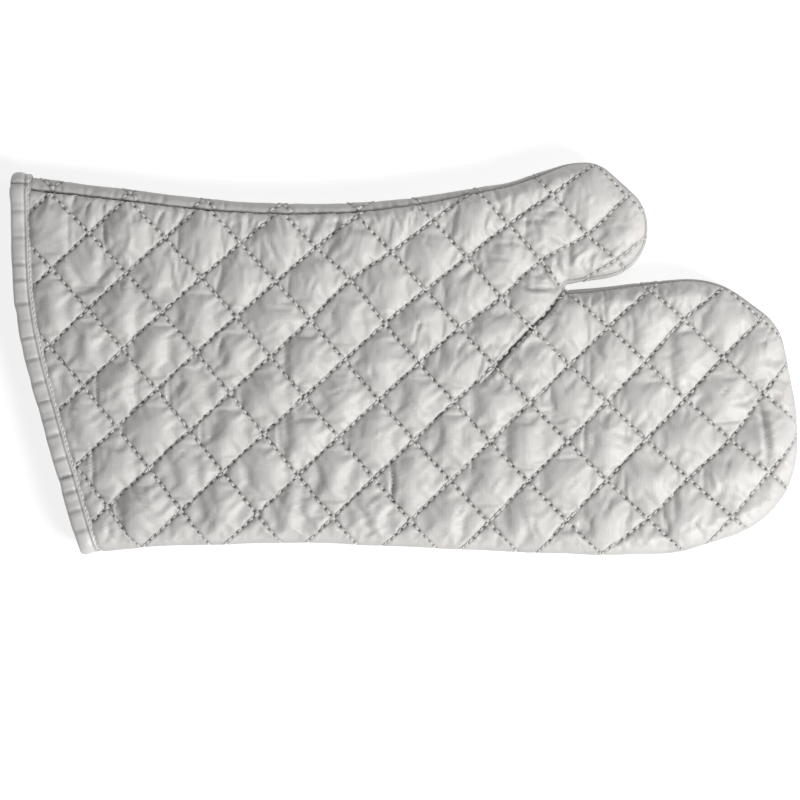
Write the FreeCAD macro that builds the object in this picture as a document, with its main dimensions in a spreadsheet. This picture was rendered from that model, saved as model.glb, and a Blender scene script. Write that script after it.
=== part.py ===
import FreeCAD, Part
import math
import os

import Sketcher
from FreeCAD import Placement, Rotation, Vector

# A quilted oven mitt lying on its back panel, palm up.
# +X points to the fingertips, +Y to the thumb, +Z up from the surface it lies on.
# Each panel is a half pillow of nested layers: shell, wadding and lining. The two
# panels meet at the seam plane, and both fold across the knuckles and the thumb's base.

DIMENSIONS = {
    "half_thick": 14.0,       # seam plane above the surface
    "seam_gap": 0.5,          # seam thread between the two panels
    "rim_round": 13.0,        # rounding of the panel towards the seam
    "shell_cloth": 1.0,
    "wadding": 4.0,
    "lining_cloth": 0.8,
    "binding_cloth": 0.6,
    "binding_width": 10.0,
    "stitch_inset": 8.8,      # binding's top-stitching, from the cuff edge
    "stitch_width": 0.8,
    "thread_sink": 0.4,       # thread sunk flush into the cloth
    "quilt_pitch": 29.4,      # between neighbouring quilting lines
    "quilt_angle": 45.6,      # of a quilting line to the mitt's length
    "quilt_cross_x": 27.3,    # one crossing of the lattice
    "quilt_cross_y": -25.7,
    "seam_inset": 0.6,
    "seam_width": 1.0,
    "tack_length": 6.0,
    "tack_height": 5.0,
    "slit_x": 88.0,           # middle of the slit between thumb and fingers, at the crotch
    "slit_y": 39.0,
    "slit_angle": 7.2,
    "knuckle_x": 118.0,       # line that the fingers fold across
    "knuckle_bend": 60.0,
    "thumb_x": 102.2,         # point on the line that the thumb folds across
    "thumb_y": 44.3,
    "thumb_angle": 27.0,      # of the thumb's own direction to the mitt's length
    "thumb_bend": 45.0,
    "fold_gap": 1.0,
}

# Corners of the sewn outline, anticlockwise from the cuff's little-finger side. Each is
# the crossing of two straight runs and the radius that rounds them into each other. The
# outline runs past the cuff, where the curved cuff line trims it.
OUTLINE = [
    ("past_cuff_low", -245.0, -114.3, 20.0),
    ("cuff_flare", -140.0, -103.2, 120.0),
    ("wrist_low", -56.0, -100.6, 400.0),
    ("palm_low", 100.0, -107.6, 300.0),
    ("little_side", 146.6, -107.6, 90.0),
    ("tip_low", 216.0, -85.7, 52.0),
    ("tip_mid", 216.0, -27.3, 100.0),
    ("tip_high", 206.2, 18.5, 30.0),
    ("index_side", 169.3, 45.7, 51.0),
    ("crotch_low", 88.6, 37.5, 1.3),
    ("crotch_high", 88.2, 40.6, 1.3),
    ("thumb_low", 133.6, 47.4, 27.0),
    ("thumb_tip", 133.6, 83.5, 25.0),
    ("thumb_top", 106.8, 107.6, 20.0),
    ("thumb_back", 91.4, 107.6, 40.0),
    ("thumb_base", 57.5, 96.6, 80.0),
    ("wrist_thumb", -12.3, 85.2, 400.0),
    ("cuff_thumb", -87.3, 85.2, 500.0),
    ("past_cuff_high", -245.0, 104.9, 20.0),
]

# The side of the cuff line that holds the mitt. The cuff runs straight across on the
# thumb side and slants towards the fingers on the other side.
CUFF = [
    ("cuff_top", -216.0, 150.0, 0.0),
    ("cuff_bend", -216.0, 23.5, 409.0),
    ("cuff_foot", -164.0, -150.0, 0.0),
    ("far_foot", 300.0, -150.0, 0.0),
    ("far_top", 300.0, 150.0, 0.0),
]

# How deep each surface lies under the outside of the panel, as a sum of thicknesses.
DEPTHS = {
    "outside": [],
    "thread": ["thread_sink"],
    "hem": ["binding_cloth"],
    "shell": ["shell_cloth"],
    "wadding": ["shell_cloth", "wadding"],
    "lining": ["shell_cloth", "wadding", "lining_cloth"],
    "hem_inside": ["shell_cloth", "wadding", "lining_cloth", "binding_cloth"],
}

REACH = 300.0                 # longer than any half of the mitt
TOOL_LOW = -20.0              # bottom and top of the cutting tools
TOOL_HIGH = 60.0

doc = FreeCAD.newDocument("OvenMitt")
dims = doc.addObject("Spreadsheet::Sheet", "dims")
nodes = {}


# ---------------------------------------------------------------- driving dimensions

def fill_sheet():
    """One row per dimension: its name in A, its value in B with the name as its alias."""
    rows = list(DIMENSIONS.items())
    for name, across, along, radius in OUTLINE + CUFF:
        rows += [(name + "_x", across), (name + "_y", along), (name + "_r", radius)]
    for line, (name, value) in enumerate(rows, start=1):
        dims.set(f"A{line}", name)
        dims.set(f"B{line}", str(value))
        dims.setAlias(f"B{line}", name)
    doc.recompute()


def size(name):
    return float(dims.get(name))


def minus_depth(text, surface):
    """An expression for a size that shrinks by the depth of a surface."""
    return " - ".join([text] + ["dims." + name for name in DEPTHS[surface]])


def depth_text(surface):
    return " + ".join(["0"] + ["dims." + name for name in DEPTHS[surface]])


# ---------------------------------------------------------------- rounded outlines

def corners(table, inset):
    """The corners of a closed line moved inwards, each with its new radius."""
    points = [Vector(size(row[0] + "_x"), size(row[0] + "_y"), 0) for row in table]
    moved = []
    for index, row in enumerate(table):
        before = (points[index] - points[index - 1]).normalize()
        after = (points[(index + 1) % len(points)] - points[index]).normalize()
        turn = math.atan2(before.cross(after).z, before.dot(after))
        inwards = Vector(-before.y, before.x, 0)
        slide = before * (-inset * math.tan(turn / 2))
        radius = size(row[0] + "_r")
        if radius > 0:
            radius -= math.copysign(inset, turn)
        moved.append((points[index] + inwards * inset + slide, before, after, turn, radius))
    return moved


def outline_geometry(table, inset):
    """Lines and tangent arcs in order, with True for an arc that runs clockwise."""
    found = []
    rounded = []
    for point, before, after, turn, radius in corners(table, inset):
        tangent = radius * math.tan(abs(turn) / 2)
        towards = (after - before).normalize()
        bulge = radius / math.cos(turn / 2) - radius
        start = point - before * tangent
        end = point + after * tangent
        rounded.append((start, point + towards * bulge, end, turn < 0, radius > 0))
    for index, (start, middle, end, clockwise, is_arc) in enumerate(rounded):
        last_end = rounded[index - 1][2]
        found.append((Part.LineSegment(last_end, start), False))
        if is_arc:
            found.append((Part.Arc(start, middle, end), clockwise))
    return found


def distance_of(text):
    """The value of a sum of dimensions written as an expression."""
    names = text.replace("dims.", "").split(" + ")
    return sum(size(name) for name in names if name != "0")


def add_loop(sketch, table, inset_text):
    """A closed rounded loop, its pieces joined end to end and its radii bound to dims."""
    first = sketch.GeometryCount
    pieces = outline_geometry(table, distance_of(inset_text))
    sketch.addGeometry([piece for piece, clockwise in pieces], False)
    for index in range(len(pieces)):
        after = (index + 1) % len(pieces)
        end = 1 if pieces[index][1] else 2
        start = 2 if pieces[after][1] else 1
        joined = Sketcher.Constraint("Coincident", first + index, end, first + after, start)
        sketch.addConstraint(joined)
    arcs = [index for index, (piece, clockwise) in enumerate(pieces)
            if isinstance(piece, (Part.Arc, Part.ArcOfCircle))]
    names = [row[0] for row in table if row[3] > 0]
    for name, index in zip(names, arcs):
        circle = sketch.Geometry[first + index]
        number = sketch.addConstraint(Sketcher.Constraint("Radius", first + index, circle.Radius))
        sign = "+" if pieces[index][1] else "-"
        sketch.setExpression(f"Constraints[{number}]", f"dims.{name}_r {sign} ({inset_text})")


def new_sketch(body, name, role):
    sketch = body.newObject("Sketcher::SketchObject", name)
    plane = next(item for item in body.Origin.OriginFeatures if item.Role == role)
    sketch.AttachmentSupport = [(plane, "")]
    sketch.MapMode = "FlatFace"
    return sketch


def pad(body, sketch, length, reversed_way=False, both_ways=False):
    feature = body.newObject("PartDesign::Pad", sketch.Name + "_pad")
    feature.Profile = sketch
    feature.setExpression("Length", length)
    feature.Reversed = reversed_way
    feature.Midplane = both_ways
    body.Tip = feature
    return feature


# ---------------------------------------------------------------- building tools

def half_pillow(surface):
    """The front panel's volume inside one surface: flat on top, rounded down to the seam."""
    body = doc.addObject("PartDesign::Body", "pillow_" + surface)
    sketch = new_sketch(body, "outline_" + surface, "XY_Plane")
    sketch.setExpression("AttachmentOffset.Base.z", "dims.half_thick + dims.seam_gap / 2")
    add_loop(sketch, OUTLINE, depth_text(surface))
    block = pad(body, sketch, minus_depth("dims.half_thick - dims.seam_gap / 2", surface))
    doc.recompute()
    faces = block.Shape.Faces
    top = max(range(len(faces)), key=lambda index: faces[index].CenterOfMass.z)
    rim = body.newObject("PartDesign::Fillet", "rim_" + surface)
    rim.Base = (block, [f"Face{top + 1}"])
    rim.setExpression("Radius", minus_depth("dims.rim_round", surface))
    body.Tip = rim
    return body


def ring(name, outer, inner, height):
    """A flat band just inside the outline, centred on the seam plane."""
    body = doc.addObject("PartDesign::Body", name)
    sketch = new_sketch(body, name + "_band", "XY_Plane")
    sketch.setExpression("AttachmentOffset.Base.z", "dims.half_thick")
    add_loop(sketch, OUTLINE, outer)
    add_loop(sketch, OUTLINE, inner)
    pad(body, sketch, height, both_ways=True)
    return body


def cuff_side(name, inset_text):
    """Everything on the mitt's side of a line at a distance inside the cuff edge."""
    body = doc.addObject("PartDesign::Body", name)
    sketch = new_sketch(body, name + "_line", "XY_Plane")
    add_loop(sketch, CUFF, inset_text)
    pad(body, sketch, f"{2 * TOOL_HIGH}", both_ways=True)
    return body


def fold_block(name, sign, bend, where):
    """The far side of a fold line. Above the seam plane it leans back by half the bend,
    away from the line when sign is 1 and over it when sign is -1, so the palm can close."""
    body = doc.addObject("PartDesign::Body", name)
    sketch = new_sketch(body, name + "_profile", "XZ_Plane")
    edge = sign * size("fold_gap") / 2
    lean = sign * (TOOL_HIGH - size("half_thick")) * math.tan(math.radians(size(bend) / 2))
    profile = [
        Vector(edge, TOOL_LOW, 0),
        Vector(REACH, TOOL_LOW, 0),
        Vector(REACH, TOOL_HIGH, 0),
        Vector(edge + lean, TOOL_HIGH, 0),
        Vector(edge, size("half_thick"), 0),
    ]
    for index, point in enumerate(profile):
        following = profile[(index + 1) % len(profile)]
        sketch.addGeometry(Part.LineSegment(point, following), False)
    for index in range(len(profile)):
        after = (index + 1) % len(profile)
        sketch.addConstraint(Sketcher.Constraint("Coincident", index, 2, after, 1))
    pad(body, sketch, f"{2 * REACH}", both_ways=True)
    for axis, cell in zip("xy", where):
        body.setExpression(f"Placement.Base.{axis}", cell)
    return body


def turned(obj, angle_cell):
    """Turn an object about the vertical by the angle in a cell."""
    obj.Placement.Rotation = Rotation(Vector(0, 0, 1), size(angle_cell))
    return obj


def cut(name, base, tool):
    result = doc.addObject("Part::Cut", name)
    result.Base = base
    result.Tool = tool
    return result


def common(name, *shapes):
    result = doc.addObject("Part::MultiCommon", name)
    result.Shapes = list(shapes)
    return result


def mirrored(name, source):
    """The back panel's copy of a front solid, across the seam plane."""
    result = doc.addObject("Part::Mirroring", name)
    result.Source = source
    result.Normal = Vector(0, 0, 1)
    result.Base = Vector(0, 0, size("half_thick"))
    return result


def thumb_side_block():
    """Everything on the thumb's side of the slit between thumb and fingers."""
    block = doc.addObject("Part::Box", "thumb_side")
    block.Length = 2 * REACH
    block.Width = REACH
    block.Height = TOOL_HIGH - TOOL_LOW
    angle = math.radians(size("slit_angle"))
    along = Vector(math.cos(angle), math.sin(angle), 0)
    corner = Vector(size("slit_x"), size("slit_y"), TOOL_LOW) - along * REACH
    block.Placement = Placement(corner, Rotation(Vector(0, 0, 1), size("slit_angle")))
    return block


def quilt_net():
    """Thin upright walls along both families of quilting lines, joined where they cross."""
    walls = []
    cross = Vector(size("quilt_cross_x"), size("quilt_cross_y"), TOOL_LOW)
    steps = math.ceil(REACH / size("quilt_pitch"))
    for sign, family in ((1, "rising"), (-1, "falling")):
        turn = Rotation(Vector(0, 0, 1), sign * size("quilt_angle"))
        for step in range(-steps, steps + 1):
            wall = doc.addObject("Part::Box", f"quilt_{family}_{step + steps}")
            wall.Length = 2 * REACH
            wall.setExpression("Width", "dims.stitch_width")
            wall.Height = TOOL_HIGH - TOOL_LOW
            shift = Vector(-REACH, step * size("quilt_pitch") - size("stitch_width") / 2, 0)
            wall.Placement = Placement(cross + turn.multVec(shift), turn)
            walls.append(wall)
    net = doc.addObject("Part::MultiFuse", "quilt_net")
    net.Shapes = walls
    return net


# ---------------------------------------------------------------- the panels

def shared_tools():
    tools = {surface: half_pillow(surface) for surface in DEPTHS}
    tools["cuff"] = cuff_side("cuff_edge", "0")
    tools["turn"] = cuff_side("cuff_turn", "dims.binding_cloth")
    tools["bound"] = cuff_side("cuff_bound", "dims.binding_width")
    tools["sewn"] = cuff_side("cuff_sewn", "dims.stitch_inset")
    tools["sewn_to"] = cuff_side("cuff_sewn_to", "dims.stitch_inset + dims.stitch_width")
    tools["tacked"] = cuff_side("cuff_tacked", "dims.binding_cloth + dims.tack_length")
    tools["net"] = quilt_net()
    return tools


def tack_band(tools):
    """The band at the rim, across the seam, that the two bar tacks are cut from."""
    band = ring("tack_ring", "0", "dims.binding_cloth", "dims.tack_height")
    start = common("tack_start", band, tools["turn"])
    return cut("tack_band", start, tools["tacked"])


def front_layers(tools, tacks):
    """Each layer of the front panel, whole, from the cuff to the fingertips."""
    hollow = cut("binding_bulk", tools["outside"], tools["hem_inside"])
    strip = cut("cuff_strip", tools["cuff"], tools["bound"])
    filling = common("binding_filling", cut("binding_core", tools["hem"], tools["lining"]),
                     tools["turn"])
    folded = cut("binding_folded", common("binding_strip", hollow, strip), filling)
    sewn_line = cut("sewn_line", tools["sewn"], tools["sewn_to"])
    skin = cut("thread_skin", tools["outside"], tools["thread"])
    stitching = common("front_stitching", skin, sewn_line)
    quilting = common("front_quilting", skin, tools["net"], tools["bound"])
    binding = cut("front_binding", cut("binding_tacked", folded, tacks), stitching)
    shell = common("shell_trimmed", cut("shell_full", tools["outside"], tools["shell"]),
                   tools["turn"])
    shell = cut("shell_bound", shell, folded)
    shell = cut("front_shell", shell, quilting)
    wadding = common("front_wadding", cut("wadding_full", tools["shell"], tools["wadding"]),
                     tools["turn"])
    lining = common("front_lining", cut("lining_full", tools["wadding"], tools["lining"]),
                    tools["turn"])
    return {
        "shell": shell,
        "batting": wadding,
        "lining": lining,
        "quilting_thread": quilting,
        "binding": binding,
        "stitching": stitching,
    }


def fold_spaces():
    """What each body may fill, and what is cleared away from the hand at each fold."""
    side = thumb_side_block()
    knuckles = ("dims.knuckle_x", "0")
    base = ("dims.thumb_x", "dims.thumb_y")
    fingers = fold_block("fingers_block", 1, "knuckle_bend", knuckles)
    fingers_off = fold_block("fingers_off_block", -1, "knuckle_bend", knuckles)
    thumb = turned(fold_block("thumb_block", 1, "thumb_bend", base), "thumb_angle")
    thumb_off = turned(fold_block("thumb_off_block", -1, "thumb_bend", base), "thumb_angle")
    return {
        "fingers": cut("fingers_space", fingers, side),
        "fingers_off": cut("fingers_off_space", fingers_off, side),
        "thumb": common("thumb_space", thumb, side),
        "thumb_off": common("thumb_off_space", thumb_off, side),
    }


def node(name, obj):
    """Name a finished piece, and keep it for the export."""
    obj.Label = name
    nodes[name] = obj
    return obj


def split_at_folds(name, layer, spaces):
    """One layer as three pieces: hand, fingers and thumb."""
    hand = cut(name + "_less_fingers", layer, spaces["fingers_off"])
    node(name + "_hand", cut(name + "_hand", hand, spaces["thumb_off"]))
    node(name + "_fingers", common(name + "_fingers", layer, spaces["fingers"]))
    node(name + "_thumb", common(name + "_thumb", layer, spaces["thumb"]))


def build_panels(front, spaces):
    for layer in ("shell", "batting", "lining", "quilting_thread"):
        split_at_folds("front_" + layer, front[layer], spaces)
        split_at_folds("back_" + layer, mirrored("back_" + layer, front[layer]), spaces)
    node("front_cuff_binding", front["binding"])
    node("back_cuff_binding", mirrored("back_binding", front["binding"]))
    node("front_binding_stitching", front["stitching"])
    node("back_binding_stitching", mirrored("back_stitching", front["stitching"]))


# ---------------------------------------------------------------- making up

def half_space(name, low, high):
    """A block between two heights along Y, wide enough for the whole mitt."""
    block = doc.addObject("Part::Box", name)
    block.Length = 2 * REACH
    block.Width = high - low
    block.Height = TOOL_HIGH - TOOL_LOW
    block.Placement.Base = Vector(-REACH, low, TOOL_LOW)
    return block


def build_seam(tools, tacks, spaces):
    """The seam thread along the outline, in the runs that the cuff and the folds leave."""
    band = ring("seam_ring", "dims.seam_inset", "dims.seam_inset + dims.seam_width",
                "dims.seam_gap")
    seam = cut("seam_trimmed", common("seam_run", band, tools["turn"]), tacks)
    node("seam_thread_fingers", common("seam_thread_fingers", seam, spaces["fingers"]))
    node("seam_thread_thumb", common("seam_thread_thumb", seam, spaces["thumb"]))
    hand = cut("seam_less_fingers", seam, spaces["fingers_off"])
    hand = cut("seam_hand", hand, spaces["thumb_off"])
    crotch_low = size("slit_y") / 2
    crotch_high = size("slit_y") + 10.0
    top = half_space("thumb_edge_side", crotch_high, REACH)
    middle = half_space("crotch_side", crotch_low, crotch_high)
    bottom = half_space("little_finger_edge_side", -REACH, 0.0)
    node("seam_thread_thumb_edge", common("seam_thread_thumb_edge", hand, top))
    node("seam_thread_crotch", common("seam_thread_crotch", hand, middle))
    node("seam_thread_little_finger_edge", common("seam_thread_low_edge", hand, bottom))


def build_bar_tacks(tacks):
    high = half_space("bartack_high_side", 0.0, REACH)
    low = half_space("bartack_low_side", -REACH, 0.0)
    node("bar_tack_thumb_edge", common("bar_tack_high", tacks, high))
    node("bar_tack_little_finger_edge", common("bar_tack_low", tacks, low))


# ---------------------------------------------------------------- checks and export

def check_document():
    for obj in doc.Objects:
        bad = [state for state in obj.State if state in ("Invalid", "Error")]
        if bad:
            raise RuntimeError(f"{obj.Name} failed: {obj.State}")
    for name, obj in nodes.items():
        shape = obj.Shape
        if shape.isNull() or not shape.isValid() or not shape.Solids:
            raise RuntimeError(f"{name} has no valid solid")


def export_nodes():
    os.makedirs("parts", exist_ok=True)
    for name, obj in nodes.items():
        shape = obj.Shape
        box = shape.BoundBox
        print(f"{name}: {len(shape.Solids)} solid, {shape.Volume:.0f} mm3, "
              f"x {box.XMin:.1f} {box.XMax:.1f}, y {box.YMin:.1f} {box.YMax:.1f}, "
              f"z {box.ZMin:.2f} {box.ZMax:.2f}")
        shape.exportStep(f"parts/{name}.step")


fill_sheet()
shared = shared_tools()
tack_source = tack_band(shared)
spaces_by_name = fold_spaces()
build_panels(front_layers(shared, tack_source), spaces_by_name)
build_seam(shared, tack_source, spaces_by_name)
build_bar_tacks(tack_source)
doc.recompute()
check_document()
export_nodes()
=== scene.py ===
import math
import random
from itertools import pairwise

import bpy
import numpy as np
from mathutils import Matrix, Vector, noise
from mathutils.bvhtree import BVHTree
from mathutils.geometry import delaunay_2d_cdt
from mathutils.kdtree import KDTree


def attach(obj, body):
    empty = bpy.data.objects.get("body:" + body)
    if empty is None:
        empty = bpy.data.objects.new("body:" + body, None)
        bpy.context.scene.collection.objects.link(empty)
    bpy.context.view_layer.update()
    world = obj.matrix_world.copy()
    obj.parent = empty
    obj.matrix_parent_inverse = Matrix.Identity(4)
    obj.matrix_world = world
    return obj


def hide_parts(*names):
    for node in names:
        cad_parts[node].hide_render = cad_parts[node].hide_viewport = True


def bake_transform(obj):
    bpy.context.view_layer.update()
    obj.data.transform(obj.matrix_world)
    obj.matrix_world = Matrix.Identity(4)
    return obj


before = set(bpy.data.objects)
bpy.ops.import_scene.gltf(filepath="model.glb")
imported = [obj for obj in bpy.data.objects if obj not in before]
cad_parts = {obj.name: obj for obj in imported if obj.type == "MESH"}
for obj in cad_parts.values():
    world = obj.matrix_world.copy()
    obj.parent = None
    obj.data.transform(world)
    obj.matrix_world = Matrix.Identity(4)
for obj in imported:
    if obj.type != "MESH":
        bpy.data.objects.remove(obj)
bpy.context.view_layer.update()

# A quilted oven mitt lying on its back panel, palm up. Lengths in this script are in mm
# and become metres when a mesh is made. +X fingertips, +Y thumb, +Z up.

MM = 0.001
RIM = 12.0                # how far in from the outline a panel reaches its full height
FLOOR_GAP = 3.0           # quilting lines of the back panel above the floor
PANEL_THICK = 5.0         # shell, wadding and lining together
POINT_STEP = 2.4          # mesh spacing along the outline
CELL_STEPS = 11           # mesh steps along one side of a quilted diamond
BESIDE = 1.0              # a finer row of mesh on each side of a quilting line
STITCH = 4.2              # one stitch along a quilting line
STITCH_RADIUS = 0.56
BINDING = 10.8            # width of the cuff binding
BINDING_STITCH = 10.1     # its top-stitching, from the cuff edge
SEAM_STEP = 3.2           # one stitch of the joining seam
TAPE_STEP = 1.1           # mesh spacing along the cuff binding
TAPE_END_ROWS = 3         # rows of the tape that are sunk and given painted shade at each of its ends
TAPE_MARGIN = 0.6
CUFF_GAP = 4.0            # how far under the tape a panel's cloth ends
CUFF_POINTS = 90          # mesh points across the cuff end of a panel
RINGS = [RIM * (1 - math.cos(math.radians(angle))) for angle in range(11, 67, 11)]
STRIP_ROWS = 6            # rows of mesh where a panel runs on round the rim
LEAST_ROLL = math.radians(2.0)
SHORTEST_RUN = 15         # points in the shortest quilting line that is sewn
MERGE_WITHIN = 0.05
SIM_SCALE = 20.0          # cloth is simulated at this size, where its settings behave well
SIM_FRAMES = 16
PUFF_CAP = 7.0            # the most that the simulation may move a point

# Corners of the sewn outline with the radius that rounds each one, as in the CAD model.
OUTLINE = [
    (-245.0, -114.3, 20.0),
    (-140.0, -103.2, 120.0),
    (-56.0, -100.6, 400.0),
    (100.0, -107.6, 300.0),
    (146.6, -107.6, 90.0),
    (216.0, -85.7, 52.0),
    (216.0, -27.3, 100.0),
    (206.2, 18.5, 30.0),
    (169.3, 45.7, 51.0),
    (88.6, 37.5, 1.3),
    (88.2, 40.6, 1.3),
    (133.6, 47.4, 27.0),
    (133.6, 83.5, 25.0),
    (106.8, 107.6, 20.0),
    (91.4, 107.6, 40.0),
    (57.5, 96.6, 80.0),
    (-12.3, 85.2, 400.0),
    (-87.3, 85.2, 500.0),
    (-245.0, 104.9, 20.0),
]

# How far the seam is rolled round the rim, in degrees above the middle of the edge, at
# places along the outline. The back panel shows on top where this is positive.
SEAM_ROLL = [
    (-175.0, -107.0, -22.0),
    (100.0, -107.0, -22.0),
    (214.0, -60.0, -10.0),
    (211.0, 5.0, 12.0),
    (170.0, 43.0, 18.0),
    (135.0, 40.0, 22.0),
    (100.0, 38.5, 33.0),
    (95.0, 42.0, 24.0),
    (133.0, 70.0, 24.0),
    (107.0, 106.0, 14.0),
    (92.0, 107.0, 12.0),
    (75.0, 101.0, 30.0),
    (20.0, 90.0, 47.0),
    (-40.0, 86.0, 59.0),
    (-216.0, 100.0, 66.0),
]

HALF_HEIGHT = [(-216.0, 7.6), (-150.0, 9.2), (-60.0, 10.2), (60.0, 10.6), (150.0, 10.4), (216.0, 9.4)]

CROTCH = np.array([88.4, 39.0])
SLIT_SLOPE = math.tan(math.radians(7.2))


# ---- shape of the mitt

def rounded(table, step):
    """Points along a closed line of straight runs and tangent arcs."""
    corners = np.array([row[:2] for row in table])
    points = []
    for index, (_, _, radius) in enumerate(table):
        before = corners[index] - corners[index - 1]
        after = corners[(index + 1) % len(corners)] - corners[index]
        before = before / np.linalg.norm(before)
        after = after / np.linalg.norm(after)
        turn = math.atan2(before[0] * after[1] - before[1] * after[0], before @ after)
        tangent = radius * math.tan(abs(turn) / 2)
        start = corners[index] - before * tangent
        side = math.copysign(1.0, turn)
        centre = start + side * radius * np.array([-before[1], before[0]])
        count = max(2, int(math.ceil(abs(turn) * radius / min(step, 0.45 * radius))))
        for part in range(count + 1):
            angle = turn * part / count
            spoke = start - centre
            cos, sin = math.cos(angle), math.sin(angle)
            points.append(centre + [cos * spoke[0] - sin * spoke[1], sin * spoke[0] + cos * spoke[1]])
    points = np.array(points)
    filled = []
    for index in range(len(points)):
        end = points[(index + 1) % len(points)]
        count = max(1, int(round(np.linalg.norm(end - points[index]) / step)))
        for part in range(count):
            filled.append(points[index] + (end - points[index]) * part / count)
    return np.array(filled)


def lengths(line):
    """The distance along a line to each of its points."""
    return np.concatenate([[0], np.cumsum(np.linalg.norm(np.diff(line, axis=0), axis=1))])


def unit_rows(rows):
    return rows / np.linalg.norm(rows, axis=1)[:, None]


def turned(flat):
    """A flat direction, or rows of them, turned a quarter to the left."""
    return np.stack([-flat[..., 1], flat[..., 0]], -1)


def bell(distance, width):
    """1 on a line, fading to nothing a couple of widths away."""
    return np.exp(-(distance / width) ** 2)


def tree_of(points):
    """A search tree of points, flat ones or in space."""
    tree = KDTree(len(points))
    for index, point in enumerate(points):
        tree.insert((*point, 0.0)[:3], index)
    tree.balance()
    return tree


def nearest_index(path, points):
    tree = tree_of(path)
    return np.array([tree.find((p[0], p[1], 0.0))[1] for p in points])


def fill_border(border, others):
    """Triangles that fill a closed border, with the other points inside it as corners."""
    flat = np.vstack([border, *others])
    count = len(border)
    edges = [(index, (index + 1) % count) for index in range(count)]
    coords, _, faces, origin, _, _ = delaunay_2d_cdt(
        [Vector(point) for point in flat], edges, [], 1, 1e-4, True)
    points = np.array([tuple(point) for point in coords])
    middles = np.array([points[list(face)].mean(0) for face in faces])
    faces = [list(face) for face, ok in zip(faces, inside(middles, border)) if ok]
    return points, faces, origin


def cuff_x(y):
    """The cuff edge: straight across on the thumb side, slanted on the other."""
    below = 23.5 - np.asarray(y, float)
    return -216.0 + 0.15 * (below + np.sqrt(below * below + 29.0 ** 2))


LOOP = rounded(OUTLINE, POINT_STEP)
LOOP_NEXT = np.roll(LOOP, -1, axis=0)


def edge_inset(points):
    """How far each point lies inside the outline, which runs on past the cuff."""
    points = np.asarray(points, float)
    result = np.empty(len(points))
    run = LOOP_NEXT - LOOP
    length = (run * run).sum(1) + 1e-12
    for start in range(0, len(points), 2000):
        part = points[start:start + 2000, None, :] - LOOP[None]
        along = np.clip((part * run).sum(2) / length, 0, 1)
        away = part - along[:, :, None] * run
        result[start:start + 2000] = np.sqrt((away * away).sum(2).min(1))
    return np.where(inside(points, LOOP), result, -result)


def inside(points, loop):
    x, y = points[:, 0], points[:, 1]
    odd = np.zeros(len(points), bool)
    for (x0, y0), (x1, y1) in zip(loop, np.roll(loop, -1, axis=0)):
        if y0 != y1:
            crosses = (y0 > y) != (y1 > y)
            odd ^= crosses & (x < (x1 - x0) * (y - y0) / (y1 - y0) + x0)
    return odd


def half_height(x):
    places = np.array(HALF_HEIGHT)
    return np.interp(x, places[:, 0], places[:, 1])


def seam_height(x):
    return FLOOR_GAP + half_height(x)


def on_rim(path, normals, angle, side):
    """Points at an angle round the rim from its middle, towards side."""
    flat = path + normals * (RIM * (1 - np.cos(angle)))[:, None]
    rise = half_height(flat[:, 0]) * np.sin(angle)
    return np.column_stack([flat, seam_height(flat[:, 0]) + side * rise])


def surface_height(points, inset, side, sunk=0.0):
    """Height of a panel's surface: side is 1 on top and -1 below, sunk inwards."""
    cos = np.clip(1 - (inset - sunk) / (RIM - sunk), -1, 1)
    cos = np.clip(cos, 0, 1)
    rise = np.sqrt(1 - cos * cos)
    return seam_height(points[:, 0]) + side * (half_height(points[:, 0]) - sunk) * rise


# The quilting lines cross where across + along is odd. Across counts half diamonds from
# the cuff, along counts them from the thumb's side. The lattice drifts with the cloth.

# Crossings that lie off the smooth lattice, with how far off. These rows and the factors in
# lattice() weren't chosen by hand: scratch programs fitted them, by least squares, to the
# crossings read by eye from the photo.
PULLS = [
    (15, 2, -4.8, 1.4),
    (15, 0, 1.7, -4.9),
    (16, 9, -5.0, 5.0),
    (19, 6, 2.9, -2.4),
    (9, 2, 0.2, 3.7),
    (18, 3, -1.2, 2.9),
    (13, 2, 0.6, -2.8),
]
PULL_SPREAD = 1.2


def lattice(across, along):
    """Where the crossing with these numbers lies, by the fitted factors and PULLS."""
    c = (across - 12.0) / 10.0
    r = (along - 5.0) / 4.0
    x = 27.3 + 205.3 * c - 4.9 * r + 6.5 * c * r + 4.7 * c * c + 1.9 * r * r
    x += 4.8 * c * c * r + 5.4 * c * r * r + 1.2 * c ** 3
    y = -23.8 - 4.2 * c - 83.2 * r + 0.9 * c * r + 9.5 * c * c - 4.1 * r * r
    y += -1.3 * c * c * r - 2.4 * c * r * r + 5.2 * c ** 3
    for near_across, near_along, dx, dy in PULLS:
        pull = np.exp(-((across - near_across) ** 2 + (along - near_along) ** 2) / PULL_SPREAD)
        x = x + dx * pull
        y = y + dy * pull
    return np.stack([x, y], -1)


def diagonal(u, v):
    """Lattice point by line numbers: rising lines have whole u, falling lines whole v."""
    return lattice(u + v + 1.0, u - v)


U_LINES = range(-2, 18)
V_LINES = range(-7, 14)


# ---- one panel's mesh

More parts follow.
